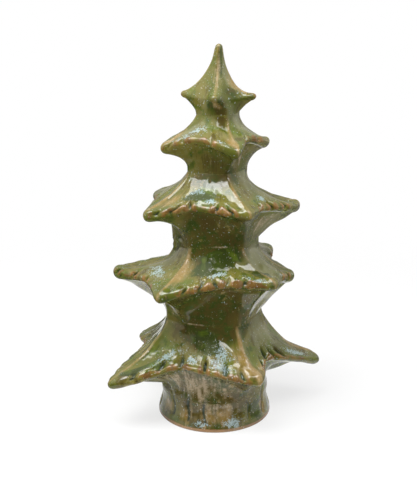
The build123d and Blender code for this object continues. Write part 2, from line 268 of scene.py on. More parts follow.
TIERS = (
    Tier("tier_five", *stand("trunk_seam", "neck_four_seam"), 0.043, 0.080, 0.025, 0.0026,
         0.7, TIER_FIVE_TIPS, trunk_neck, neck_four, GOUGE, TIER_FIVE_NICKS),
    Tier("tier_four", *stand("neck_four_seam", "neck_three_seam"), 0.042, 0.070, 0.0305, 0.0032,
         0.95, TIER_FOUR_TIPS, neck_four, neck_three, NICK, TIER_FOUR_NICKS),
    Tier("tier_three", *stand("neck_three_seam", "neck_two_seam"), 0.035, 0.0575, 0.026, 0.0028,
         0.35, TIER_THREE_TIPS, neck_three, neck_two, NICK, TIER_THREE_NICKS),
    Tier("tier_two", *stand("neck_two_seam", "neck_one_seam"), 0.026, 0.038, 0.021, 0.0029,
         0.95, TIER_TWO_TIPS, neck_two, neck_one, SMALL_NICK, TIER_TWO_NICKS),
    Tier("spire", *stand("neck_one_seam"), 0.0138, 0.0245, 0.010, 0.0017,
         0.75, SPIRE_TIPS, neck_one, point, SMALL_NICK, ()),
)
SEAMS = (
    ("trunk_seam", trunk_neck),
    ("neck_four_seam", neck_four),
    ("neck_three_seam", neck_three),
    ("neck_two_seam", neck_two),
    ("neck_one_seam", neck_one),
)

# Shares and angles that shape the curves above and below a rim, and the necks
NECK_DROP, SHOULDER_PULL, SHOULDER_RUN = 0.52, 0.45, 0.1
HEEL_RUN, HEEL_DROP, SEAT_DROP, FULL_BOW = 0.5, 0.12, 0.5, 1
ROUND, TIP_LIP, TIP_DEPTH = 0.55, 0.4, 0.8
RIM_SLOPE, TIP_SLOPE = 38, 14
SOFT_LIP, SOFT_SLOPE = 0.25, 68
BLUNT_ANGLE, RIDGE_POWER = 4, 2.2
CREST_ANGLE, CREST_TURNS = 3, 5
FLAT_SHARE, FLAT_LIMIT = 0.6, 0.0014

# Walls, tongues and the foot
WALL, RIM_WALL = 0.0046, 0.010
TONGUE_DEPTH, TONGUE_WALL, TONGUE_CLEARANCE = 0.004, 0.0025, 0.0003
SEAM = 0.001
FOOT_RADIUS, FOOT_RING, FOOT_EDGE = 0.0393, 0.007, 0.0008
TRUNK_WAIST, TRUNK_FLARE = 0.6, (-0.15, 1.05)
SPIRE_HOLLOW = 0.3

# How finely a mesh follows its form, and how its rows crowd towards a rim and its columns at a nick
FLARE_ROWS, LIP_ROWS, UNDER_ROWS, HOLLOW_ROWS = 40, 9, 24, 10
DOME_ROWS, TRUNK_ROWS, FOOT_EDGE_ROWS, SEAM_ROWS = 7, 34, 4, 7
FLARE_CROWD, UNDER_CROWD = 1.45, 1.35
COLUMN_LENGTH, FINE_STEP = 0.00076, 0.1
NICK_CROWD, NICK_SPAN = 1.4, 0.0022
SMOOTH_ANGLE = math.radians(62)
MERGE, TINY = 1e-6, 1e-12

# Swells of the clay: their wavelengths, their shares, and the seeds that they are drawn from
LUMP_WAVES, LUMP_SPREAD = 24, (0.7, 1.5)
WALL_WAVE, SMALL_WAVE, SMALL_SHARE = 0.026, 0.011, 0.45
RIM_WAVE, FINGER_WAVE, SEAM_WAVE = 0.0085, 0.0048, 0.009
TRUNK_WAVE, TRUNK_SMALL_WAVE, TRUNK_SMALL_SHARE = 0.022, 0.010, 0.5
TRUNK_SHARE, TRUNK_SINK = 0.7, 0.8
FINGER_DRUM, FINGER_STRETCH, FINGER_FADE = 0.03, 0.08, 0.006
TIER_SEED, SEED_STEP, TIER_DRAWS = 11, 20, 5
TRUNK_SEED, SEAM_SEED = 5, 3

# Where the marks of the hand start and fade, along a tier or up the trunk
FULL_RIM, RIM_ABOVE, RIM_BAND = 0.035, 0.001, 0.006
SEAM_FADE, KNOB_FADE, TIP_INSET = 0.006, 0.004, 0.0003
RIDGE_SPAN, RIDGE_LEAST, WIDE_RIM, RIDGE_END = 0.0018, 0.5, 0.05, (0, 0.008)
TROUGH_ASIDE, TROUGH_SPAN, TROUGH_END = 0.0065, 0.0036, (-0.012, -0.003)
CREST_START = (0.002, 0.016)
ROLL_ROWS, MELT_ROWS, MELT_BAND, MELT_FADE = 3, 13, 0.009, 0.004
FOOT_GROOVES, FOOT_FADE, TRUNK_FADE = (0.008, 0.014), (0.0002, 0.003), 0.004

# How much one cut of the tool differs from the next, and the shares of its slit, its dent and its burrs,
# and of a groove's banks
CUT_VARIES, CUT_WIDTH_VARIES, CUT_DEPTH_VARIES, CUT_SLANT = (0.75, 1.2), (0.75, 1.25), (0.6, 1.1), 0.3
SLIT_END, SLIT_WIDTH, SLIT_POWER, SLIT_SHARE = 0.45, 0.7, 2.4, 0.6
DENT_WIDTH, BURR_ASIDE, BURR_WIDTH, BANK_ASIDE = 2, 2.4, 1.2, 2

# What the glaze follows: where the lip and the shelf above it begin and end, and where the painted shade
# under the rims and in the necks begins and fades
LIP_ABOVE, LIP_BELOW = (-0.0050, -0.0020), (0.0012, 0.0036)
SHELF_ABOVE, SHELF_BELOW = (-0.018, -0.009), (-0.006, -0.003)
EDGE_REACH, EDGE_BULGE, EDGE_LIMITS = 2, 0.00022, (-1, 1.5)
FLOW_DRUM, FLOW_STRETCH = 0.05, 0.2
RIM_SHADE, NECK_SHADE, TRUNK_SHADE = (-0.001, 0.006), (0.001, 0.013), (0, 0.012)
SIDE_SHADE, HIGH_LIGHT, HIGH_NECKS, TRUNK_LIGHT = 0.1, 0.65, (0.150, 0.200), 0.5
TIP_COVER, SPIRE_LIP, FOOT_LIP, FOOT_BAND = 0.75, 0.8, 2, (0.0018, 0.0032)
SEAM_ALONG = -0.03
SPECK_EDGE = (-0.04, 0.05)

# The set, in metres, with the sensor in mm. The lamps stand by azimuth and elevation in degrees, and a
# cloth has one level of brightness at its middle and another at its sides.
MIDDLE = 0.13
SENSOR = 36
FLOOR_SIZE, FLOOR_GLOW, FLOOR_FADE, FLOOR_ROUGHNESS = 8, 0.72, (0.12, 0.55), 0.9
LAMP_DISTANCE = 1
Lamp = namedtuple("Lamp", "name power size azimuth elevation")
LAMPS = (
    Lamp("key_light", "key_power", 0.62, -60, 61),
    Lamp("front_light", "front_power", 0.5, -25, 70),
    Lamp("right_light", "right_power", 0.38, 52, 60),
)
CARD_FADE = (0.02, 0.25)
LINEN = (1, 0.96, 0.82)
WHITE = (1, 1, 1, 1)
Card = namedtuple("Card", "name middle turn size level side_level")
CARDS = (
    Card("front_cloth", (0, -1.5, 0.75), (QUARTER, 0, 0), (2.4, 1.5), 0.01, 0.45),
    Card("upper_cloth", (0.1, -0.65, 1.5), (0, 0, 0), (1.6, 1.7), 0.01, 0.7),
    Card("low_cloth", (0, -0.78, 0.001), (0, 0, 0), (2.4, 1.44), 0.01, 0.2),
    Card("low_left_cloth", (-0.65, 0.72, 0.001), (0, 0, 0), (1.1, 1.56), 0.16, 0.16),
    Card("low_right_cloth", (0.65, 0.72, 0.001), (0, 0, 0), (1.1, 1.56), 0.4, 0.4),
    Card("left_cloth", (-1.2, 0, 0.75), (0, QUARTER, 0), (1.5, 3), 0.95, 0.95),
    Card("right_cloth", (1.2, 0, 0.75), (0, QUARTER, 0), (1.5, 3), 1, 1),
    Card("back_cloth", (0, 1.5, 0.75), (QUARTER, 0, 0), (2.4, 1.5), 0.5, 0.6),
)


def length_property(name, description, default):
    return FloatProperty(name=name, description=description, default=default, unit="LENGTH", precision=5)


def colour_property(name, description, default):
    return FloatVectorProperty(
        name=name, description=description, default=default, subtype="COLOR", size=3, min=0, max=1)


def power_property(name, side, default):
    return FloatProperty(
        name=name, description=f"Power of the softbox above the {side}", default=default, unit="POWER")


class TreeClay(bpy.types.PropertyGroup):
    """Marks of the hand and the tool in the clay."""

    wobble: length_property("Wobble", "How far the pinched walls wander from their form", 0.00042)
    rim_lumps: length_property("Rim lumps", "How uneven the rims are between their nicks", 0.00045)
    finger_marks: length_property("Finger marks", "Depth of the marks that run from neck to rim", 0.00007)
    crest: length_property("Crest", "How far a ridge stands up between a neck and a tip", 0.0008)
    trough: length_property("Trough", "Depth of the troughs beside a ridge", 0.0006)
    groove_depth: length_property("Groove depth", "Depth of the deepest groove down the trunk", 0.0017)
    groove_width: length_property("Groove width", "Half width of a groove down the trunk", 0.0014)
    seam_sink: length_property("Seam sink", "How far the slip sinks in places along a seam", 0.00012)


class TreeGlaze(bpy.types.PropertyGroup):
    """Colours of the glaze and of the clay under it."""

    sage: colour_property("Sage", "Greyed green where the glaze is milky", (0.198, 0.199, 0.095))
    olive: colour_property("Olive", "Most of the glaze", (0.158, 0.139, 0.030))
    moss: colour_property("Moss", "Green of the thicker glaze", (0.091, 0.104, 0.016))
    grass: colour_property("Grass", "Fresh green where the glaze is thickest", (0.096, 0.137, 0.012))
    # Deep and umber are also the colours of the painted shade under the rims and in the necks
    deep: colour_property("Deep", "Darkest green of the clear glaze", (0.030, 0.048, 0.009))
    umber: colour_property("Umber", "Olive brown under the rims", (0.064, 0.046, 0.012))
    amber: colour_property("Amber", "Yellow brown where the glaze thins on a ridge", (0.285, 0.180, 0.055))
    straw: colour_property("Straw", "Pale tan where the glaze is thinnest", (0.370, 0.265, 0.140))
    tan: colour_property("Tan", "Clay that shows through on an edge", (0.235, 0.116, 0.034))
    rust: colour_property("Rust", "Redder clay that shows through on an edge", (0.150, 0.068, 0.021))
    pool: colour_property("Pool", "Blue green that pools in a nick", (0.024, 0.044, 0.030))
    crystal: colour_property("Crystal", "Pale blue crystals above the rims", (0.350, 0.460, 0.485))
    film: colour_property("Film", "Chalky film under the lowest rim", (0.360, 0.275, 0.165))
    clay: colour_property("Clay", "Bare fired clay inside and under the foot", (0.430, 0.270, 0.160))
    roughness: FloatProperty(
        name="Roughness", description="Roughness of the clear glaze", default=0.06, min=0, max=1,
        subtype="FACTOR")


class TreeStage(bpy.types.PropertyGroup):
    """Camera, lamps, room and floor."""

    camera_distance: length_property("Camera distance", "From the trunk's axis to the camera", 0.5)
    camera_height: length_property("Camera height", "Above the floor", 0.252)
    camera_aside: length_property("Camera aside", "To the right of the trunk's axis", -0.0041)
    camera_pitch: FloatProperty(
        name="Camera pitch", description="How far the camera looks down", default=math.radians(14.64),
        unit="ROTATION")
    lens: FloatProperty(
        name="Lens", description="Focal length on a 36 mm sensor", default=57.4, unit="CAMERA")
    key_power: power_property("Key power", "left", 10.0)
    front_power: power_property("Front power", "front", 4.0)
    right_power: power_property("Right power", "right", 4.4)
    fill: FloatProperty(
        name="Fill", description="Strength of the white room around the object", default=0.37,
        subtype="FACTOR")
    floor: colour_property("Floor", "Plain pale floor", (0.8, 0.8, 0.8))


# A surface's azimuths by column, and its radius and the distance along from the rim's edge at each place
Surface = namedtuple("Surface", "azimuths radius along", defaults=(None,))


def wrap(degrees):
    """An angle brought between -180 and 180 degrees."""
    return (degrees + 180) % 360 - 180


def ease(values, low, high):
    """A smooth step from 0 at low to 1 at high."""
    t = np.clip((values - low) / (high - low), 0, 1)
    return t * t * (3 - 2 * t)


def hump(values):
    """A smooth hump, 1 at its middle and nearly gone at 2 on either side."""
    return np.exp(-(values**2))


def aside_of(azimuth, surface):
    """How far to the right of an azimuth each place of a surface lies."""
    return np.radians(wrap(surface.azimuths - azimuth)) * surface.radius


def ridge(azimuths, tip):
    """How much of a tip or corner is felt at each azimuth: all on its ridge, none past its half width."""
    away = wrap(azimuths - tip.azimuth)
    half_width = tip.half_width * (1 - tip.skew * np.sign(away))
    away = np.hypot(away, BLUNT_ANGLE) - BLUNT_ANGLE
    return np.clip(1 - away / half_width, 0, None) ** RIDGE_POWER


def straight_sided(azimuths, corners, radii):
    """Radii of a plan whose sides run straight from each corner to the next."""
    plan = np.zeros(len(azimuths))
    for number, (corner, radius) in enumerate(zip(corners, radii)):
        following = (number + 1) % len(corners)
        span = (corners[following].azimuth - corner.azimuth) % 360
        past = (azimuths - corner.azimuth) % 360
        sides = radius * np.sin(np.radians(past)) + radii[following] * np.sin(np.radians(span - past))
        side = radius * radii[following] * math.sin(math.radians(span)) / np.where(past < span, sides, 1)
        plan = np.where(past < span, side, plan)
    return plan


def neck_radius(neck, azimuths):
    """A neck stands out at its corners, and is pressed nearly flat between them."""
    out = sum((corner.out * ridge(azimuths, corner) for corner in neck.corners), np.zeros(len(azimuths)))
    full = neck.radius + neck.corner * out
    if not neck.corners:
        return full
    radii = [neck.radius + neck.corner * corner.out for corner in neck.corners]
    turns = np.linspace(-CREST_ANGLE, CREST_ANGLE, CREST_TURNS)
    flat = sum(straight_sided(azimuths + turn, neck.corners, radii) for turn in turns) / CREST_TURNS
    return full - FLAT_LIMIT * np.tanh(FLAT_SHARE * np.maximum(full - flat, 0) / FLAT_LIMIT)


def pair(radius, height):
    """Radii and heights put together, as a profile holds them."""
    return np.stack(np.broadcast_arrays(radius, height), axis=-1)


def bowed(start, start_handle, end_handle, end, bow, shares):
    """Points along a curve between two ends: straight with no bow, drawn to its handles with a full one."""
    first = (start * 2 + end) / 3
    second = (start + end * 2) / 3
    first = first + (start_handle - first) * bow
    second = second + (end_handle - second) * bow
    t = np.asarray(shares)[:, None, None]
    return start * (1 - t) ** 3 + first * 3 * t * (1 - t) ** 2 + second * 3 * t**2 * (1 - t) + end * t**3


def outer_profile(tier, azimuths, flare, lip_shares, under):
    """Radii and heights of a tier's outside, a row for each share from the neck above to the neck below."""
    felt = [(tip, ridge(azimuths, tip)) for tip in tier.tips]
    tip_share = np.minimum(1, sum(part for _, part in felt))
    above = tier.bow + sum((tip.above - tier.bow) * part for tip, part in felt)
    below = FULL_BOW + sum((tip.below - FULL_BOW) * part for tip, part in felt)
    reach = tier.rim + sum((tier.spread - tier.rim) * tip.reach * part for tip, part in felt)
    level = tier.base + tier.level + sum(tier.height * tip.lift * part for tip, part in felt)
    share, rim_slope = (1, RIM_SLOPE) if tier.nicks else (SOFT_LIP, SOFT_SLOPE)
    lip = tier.lip * (share + (1 + TIP_LIP - share) * tip_share)
    depth = tier.lip * (share + (1 + TIP_DEPTH - share) * tip_share)
    slope = np.radians(rim_slope + (TIP_SLOPE - rim_slope) * tip_share)
    outward = pair(np.cos(slope), -np.sin(slope))
    up = np.array([0.0, 1.0])

    top = pair(neck_radius(tier.neck, azimuths), tier.base + tier.height)
    shoulder = pair(reach - depth, level + lip)
    edge = pair(reach, level)
    heel = pair(reach - depth, level - lip)
    seat = pair(neck_radius(tier.seat, azimuths), tier.base)

    run, drop = shoulder[:, 0] - top[:, 0], top[:, 1] - shoulder[:, 1]
    pull = SHOULDER_PULL * np.minimum(run, drop) + SHOULDER_RUN * run
    below_neck = top - up * (NECK_DROP * drop)[:, None]
    before_shoulder = shoulder - outward * pull[:, None]
    rows = [bowed(top, below_neck, before_shoulder, shoulder, above[:, None], flare)]
    round_out = outward * (ROUND * depth)[:, None]
    round_up = up * (ROUND * lip)[:, None]
    round_in = pair(ROUND * depth, 0)
    rows.append(bowed(shoulder, shoulder + round_out, edge + round_up, edge, 1, lip_shares))
    rows.append(bowed(edge, edge - round_up, heel + round_in, heel, 1, lip_shares))
    run, drop = heel[:, 0] - seat[:, 0], heel[:, 1] - seat[:, 1]
    under_heel = heel - pair(HEEL_RUN * run, HEEL_DROP * drop)
    above_seat = seat + up * (SEAT_DROP * drop)[:, None]
    rows.append(bowed(heel, under_heel, above_seat, seat, below[:, None], under))
    return np.concatenate(rows)


def around(profile, azimuths, lean):
    """The places of radii and heights turned to their azimuths, about an axis that stands aside by lean."""
    turn = np.radians(azimuths)
    radius, height = profile[..., 0], profile[..., 1]
    return np.stack([lean + radius * np.sin(turn), -radius * np.cos(turn), height], axis=-1)


def turned(rows, azimuths):
    """The places of a plain turned wall, a ring for each radius and height."""
    return np.stack([around(np.tile(row, (len(azimuths), 1)), azimuths, 0) for row in rows])


def on_drum(azimuths, radius, heights):
    """Places on a plain drum, by which marks are drawn out down a surface."""
    turn = np.radians(azimuths)
    return np.stack(np.broadcast_arrays(radius * np.sin(turn), -radius * np.cos(turn), heights), axis=-1)


def axis_lean(tier, heights):
    """How far a tier's axis stands aside at each height, between its two necks."""
    rise = (heights - tier.base) / tier.height
    return tier.seat.lean + (tier.neck.lean - tier.seat.lean) * rise


def columns_for(length):
    """How many columns go round a length, in fours."""
    return 4 * round(length / COLUMN_LENGTH / 4)


def plain_azimuths(radius):
    """Azimuths of the columns of a round piece, all evenly spaced."""
    columns = columns_for(2 * math.pi * radius)
    return np.arange(columns) * 360 / columns - 180


def even_azimuths(tier):
    """Azimuths of a tier's columns, even along its rim but closer together where a nick is cut."""
    fine = np.arange(-180, 180, FINE_STEP)
    edge = outer_profile(tier, fine, [1], [1], [1])[1]
    places = around(edge, fine, 0)
    rim = Surface(fine, edge[:, 0])
    crowd = sum(hump(aside_of(nick, rim) / NICK_SPAN) for nick in tier.nicks)
    steps = np.linalg.norm(np.roll(places, -1, axis=0) - places, axis=1) * (1 + NICK_CROWD * crowd)
    length = np.concatenate([[0], np.cumsum(steps)])
    columns = columns_for(length[-1])
    return np.interp(np.arange(columns) * length[-1] / columns, length, np.append(fine, 180))


def lumps(places, wavelength, seed):
    """Smooth uneven swells in space, about a wavelength apart and mostly between -1 and 1."""
    draw = np.random.default_rng(seed)
    ways = draw.normal(size=(LUMP_WAVES, 3))
    ways /= np.linalg.norm(ways, axis=1)[:, None]
    paces = 2 * math.pi / (wavelength * draw.uniform(*LUMP_SPREAD, LUMP_WAVES))
    starts = draw.uniform(0, 2 * math.pi, LUMP_WAVES)
    total = sum(np.cos(places @ way * pace + start) for way, pace, start in zip(ways, paces, starts))
    return total / math.sqrt(2 * LUMP_WAVES)


def outward_normals(places):
    """Unit normals of a grid of places whose columns run round and whose rows run down."""
    down = np.gradient(places, axis=0)
    along = np.roll(places, -1, axis=1) - np.roll(places, 1, axis=1)
    normals = np.cross(down, along)
    return normals / np.maximum(np.linalg.norm(normals, axis=-1), TINY)[..., None]


def pressed(places, out):
    """The grid with each place moved out of its surface, or into it where out is below 0."""
    return places + outward_normals(places) * out[..., None]


def softened(places, reach, axes=(0, 1)):
    """The grid with each place drawn to the middle of its neighbours, as far as reach rows and columns."""
    for axis in axes:
        for _ in range(2):
            total = np.zeros_like(places)
            for step in range(-reach, reach + 1):
                if axis:
                    total += np.roll(places, step, axis=1)
                else:
                    rows = np.clip(np.arange(len(places)) + step, 0, len(places) - 1)
                    total += places[rows]
            places = total / (2 * reach + 1)
    return places


def slumped(places, rows, share):
    """The grid with each place drawn, by a share, to the middle of the rows around it."""
    return places + (softened(places, rows, axes=(0,)) - places) * share[..., None]


def bulge(places, reach):
    """How far each place stands out of its softened surroundings: above 0 on edges, below 0 in hollows."""
    return np.einsum("rcx,rcx->rc", places - softened(places, reach), outward_normals(places))


def cut_marks(cut, nicks, surface, seed):
    """Shares of the tool's cuts in a rim, and of the burr that each has pushed up at its sides."""
    draw = np.random.default_rng(seed)
    cuts = np.zeros_like(surface.along)
    burrs = np.zeros_like(surface.along)
    for nick in nicks:
        middle = cut.middle * draw.uniform(*CUT_VARIES)
        half_length = cut.half_length * draw.uniform(*CUT_VARIES)
        half_width = cut.half_width * draw.uniform(*CUT_WIDTH_VARIES)
        depth = draw.uniform(*CUT_DEPTH_VARIES)
        slant = draw.uniform(-CUT_SLANT, CUT_SLANT)
        down = surface.along - middle
        aside = aside_of(nick, surface) - slant * down
        window = depth * np.exp(-((down / half_length) ** 4))
        taper = half_width * (SLIT_END + (1 - SLIT_END) * hump(down / half_length))
        slit = np.exp(-((np.abs(aside) / (SLIT_WIDTH * taper)) ** SLIT_POWER))
        dent = hump(aside / (DENT_WIDTH * taper))
        cuts = np.maximum(cuts, window * (SLIT_SHARE * slit + (1 - SLIT_SHARE) * dent))
        side = hump((np.abs(aside) - BURR_ASIDE * half_width) / (BURR_WIDTH * half_width))
        burrs = np.maximum(burrs, window * side)
    return cuts, burrs


def groove_marks(clay, azimuths, heights):
    """Shares of the grooves down the trunk, and of the banks beside them, at each azimuth and height."""
    grooves = np.zeros_like(heights)
    banks = np.zeros_like(heights)
    drum = Surface(azimuths, FOOT_RADIUS)
    for number, (azimuth, share, low, high) in enumerate(TRUNK_GROOVES):
        aside = aside_of(azimuth, drum) + GROOVE_WANDER * np.sin(heights * GROOVE_PACE + number)
        begun = ease(heights, low * MM, low * MM + GROOVE_START)
        ended = ease(heights, high * MM - GROOVE_END, high * MM)
        window = share * begun * (1 - ended)
        grooves = np.maximum(grooves, window * hump(aside / clay.groove_width))
        banks = np.maximum(banks, window * hump(np.abs(aside) / clay.groove_width - BANK_ASIDE))
    return grooves, banks


def spots(rows, surface):
    """Each spot of a table, put into metres, with how much of it is felt at each place."""
    for azimuth, *sizes in rows:
        spot = Spot(azimuth, *(MM * size for size in sizes))
        across = aside_of(spot.azimuth, surface) / spot.half_width
        down = (surface.along - spot.along) / spot.half_height
        yield spot, hump(np.hypot(across, down))


def ridge_lines(tier, surface, flare_length):
    """Shares of the ridges, which run from a corner of the neck to a tip, and of the troughs beside them."""
    along = surface.along
    down = np.clip(1 + along / flare_length, 0, 1)
    lines = np.zeros_like(along)
    troughs = np.zeros_like(along)
    span = RIDGE_SPAN * min(1, RIDGE_LEAST + tier.rim / WIDE_RIM)
    for tip in tier.tips:
        starts = [wrap(corner.azimuth - tip.azimuth) for corner in tier.neck.corners]
        start = min(starts, key=abs, default=0)
        aside = aside_of(tip.azimuth + start * (1 - down), surface)
        lines = np.maximum(lines, hump(aside / span))
        troughs = np.maximum(troughs, hump((np.abs(aside) - TROUGH_ASIDE) / TROUGH_SPAN))
    return lines * (1 - ease(along, *RIDGE_END)), troughs * (1 - ease(along, *TROUGH_END))


def hollow_profile(tier):
    """Radii and heights of a tier's inside, from the ring it is seated on, round its tongue and up."""
    top = tier.base + tier.height
    rim = tier.base + tier.level
    tongue = tier.seat.radius - WALL - TONGUE_CLEARANCE
    throat = tongue - TONGUE_WALL
    foot = tier.base - SEAM - TONGUE_DEPTH
    belly = tier.rim - RIM_WALL
    shares = np.arange(1, HOLLOW_ROWS + 1) / HOLLOW_ROWS
    rows = [(tongue, tier.base), (tongue, foot), (throat, foot), (throat, tier.base)]
    flared = throat + (belly - throat) * ease(shares, 0, 1)
    rows += zip(flared, tier.base + tier.level * shares)
    if tier.neck is point:
        rise = (tier.height - tier.level) * SPIRE_HOLLOW
        return rows + list(zip(belly * np.sqrt(1 - shares**2), rim + rise * shares))
    bore = tier.neck.radius - WALL
    rise = top - TONGUE_DEPTH - SEAM - rim
    rows += zip(belly + (bore - belly) * ease(shares, 0, 1), rim + rise * shares)
    return rows + [(bore, top)]


def throw_tube(name, rows, columns):
    """A plain open tube of clay, one metre in radius, with a ring of points for each row."""
    bpy.ops.object.select_all(action="DESELECT")
    bpy.ops.mesh.primitive_cylinder_add(vertices=columns, radius=1, depth=rows - 1, end_fill_type="NOTHING")
    tube = bpy.context.object
    tube.name = name
    tube.data.name = name
    bpy.ops.object.mode_set(mode="EDIT")
    bpy.ops.mesh.select_all(action="DESELECT")
    bpy.ops.mesh.select_mode(type="EDGE")
    edit = bmesh.from_edit_mesh(tube.data)
    for edge in edit.edges:
        edge.select_set(edge.verts[0].co.z * edge.verts[1].co.z < 0)
    bmesh.update_edit_mesh(tube.data)
    bpy.ops.mesh.subdivide_edgering(number_cuts=rows - 2, interpolation="LINEAR", smoothness=0)
    bpy.ops.object.mode_set(mode="OBJECT")
    return tube


def shape_tube(tube, places, glazed_rows, marks):
    """Presses a thrown tube to its places, notes the marks on its points, and closes it."""
    rows, columns = places.shape[:2]
    mesh = tube.data
    plain = np.empty(len(mesh.vertices) * 3)
    mesh.vertices.foreach_get("co", plain)
    plain = plain.reshape(-1, 3)
    row = np.rint((rows - 1) / 2 - plain[:, 2]).astype(int)
    column = np.rint(np.arctan2(plain[:, 0], plain[:, 1]) / (2 * math.pi) * columns).astype(int) % columns
    middles = np.empty(len(mesh.polygons) * 3)
    mesh.polygons.foreach_get("center", middles)
    face_row = np.floor((rows - 1) / 2 - middles.reshape(-1, 3)[:, 2]).astype(int)
    mesh.polygons.foreach_set("material_index", np.where(face_row < glazed_rows, 0, 1).astype(np.int32))
    mesh.vertices.foreach_set("co", places[row, column].astype(np.float32).ravel())
    for name, values in marks.items():
        filled = np.zeros((rows, columns) + values.shape[2:])
        filled[: len(values)] = values
        kind, key = ("FLOAT_VECTOR", "vector") if values.ndim == 3 else ("FLOAT", "value")
        attribute = mesh.attributes.new(name, kind, "POINT")
        attribute.data.foreach_set(key, filled[row, column].astype(np.float32).ravel())
    mesh.update()
    bpy.ops.object.mode_set(mode="EDIT")
    bpy.ops.mesh.select_mode(type="VERT")
    bpy.ops.mesh.select_all(action="SELECT")
    bpy.ops.mesh.remove_doubles(threshold=MERGE)
    bpy.ops.mesh.normals_make_consistent(inside=False)
    bpy.ops.object.mode_set(mode="OBJECT")
    bpy.ops.object.shade_smooth_by_angle(angle=SMOOTH_ANGLE)


def make_piece(name, node, grid, glazed_rows, marks, materials):
    """Throws a piece, presses it to its grid, glazes it, and puts it in its node's place."""
    piece = throw_tube(name, *grid.shape[:2])
    shape_tube(piece, grid, glazed_rows, marks)
    for material in materials:
        piece.data.materials.append(material)
    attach(piece, BODY)
    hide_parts(node)


def neck_shade(azimuths, heights):
    """Painted shade in the necks: darkest low on the tree, and at the front and back."""
    facing = SIDE_SHADE + (1 - SIDE_SHADE) * np.cos(np.radians(azimuths)) ** 2
    return facing * (1 - HIGH_LIGHT * ease(heights, *HIGH_NECKS))


def glaze_marks(name, surface, places):
    """What the glaze follows: the edges that it runs off, the lip, the shelf above it, and its blooms, with
    the spots of painted shade among them.
    """
    along = surface.along
    marks = {
        "edge": np.clip(bulge(places, EDGE_REACH) / EDGE_BULGE, *EDGE_LIMITS),
        "lip": ease(along, *LIP_ABOVE) * (1 - ease(along, *LIP_BELOW)),
        "shelf": ease(along, *SHELF_ABOVE) * (1 - ease(along, *SHELF_BELOW)),
        "flow": on_drum(surface.azimuths, FLOW_DRUM, FLOW_STRETCH * places[..., 2]),
    }
    for kind, pieces in BLOOMS.items():
        felt = [part for _, part in spots(pieces.get(name, ()), surface)]
        marks[kind] = np.clip(sum(felt, np.zeros_like(along)), 0, BLOOM_LIMIT)
    return marks


def tier_profile(tier, azimuths):
    """Radii and heights of a tier's outside in its mesh's rows, with a round end on the spire's point."""
    flare = 1 - (1 - np.linspace(0, 1, FLARE_ROWS)) ** FLARE_CROWD
    lip_shares = np.arange(1, LIP_ROWS + 1) / LIP_ROWS
    under = (np.arange(1, UNDER_ROWS + 1) / UNDER_ROWS) ** UNDER_CROWD
    profile = outer_profile(tier, azimuths, flare, lip_shares, under)
    if tier.neck is not point:
        return profile
    top = tier.base + tier.height
    quarter = np.linspace(0, QUARTER, DOME_ROWS)[:, None]
    width = np.broadcast_to(point.radius * np.sin(quarter), (DOME_ROWS, len(azimuths)))
    dome = pair(width, top - point.radius * (1 - np.cos(quarter)))
    first = int(np.argmax(profile[:, :, 1].max(axis=1) < top - point.radius))
    return np.concatenate([dome, profile[first:]])


def pinched_swell(clay, places, surface, rim_band, seeds):
    """How far the walls wander, with the lumps of the rim and the marks of fingers drawn down the flare."""
    wall_seed, small_seed, rim_seed, finger_seed = seeds
    walls = lumps(places, WALL_WAVE, wall_seed) + SMALL_SHARE * lumps(places, SMALL_WAVE, small_seed)
    rim = rim_band * lumps(places, RIM_WAVE, rim_seed)
    drawn = on_drum(surface.azimuths, FINGER_DRUM, FINGER_STRETCH * surface.along)
    fingers = lumps(drawn, FINGER_WAVE, finger_seed) * (1 - ease(surface.along, -FINGER_FADE, 0))
    return clay.wobble * walls + clay.rim_lumps * rim + clay.finger_marks * fingers


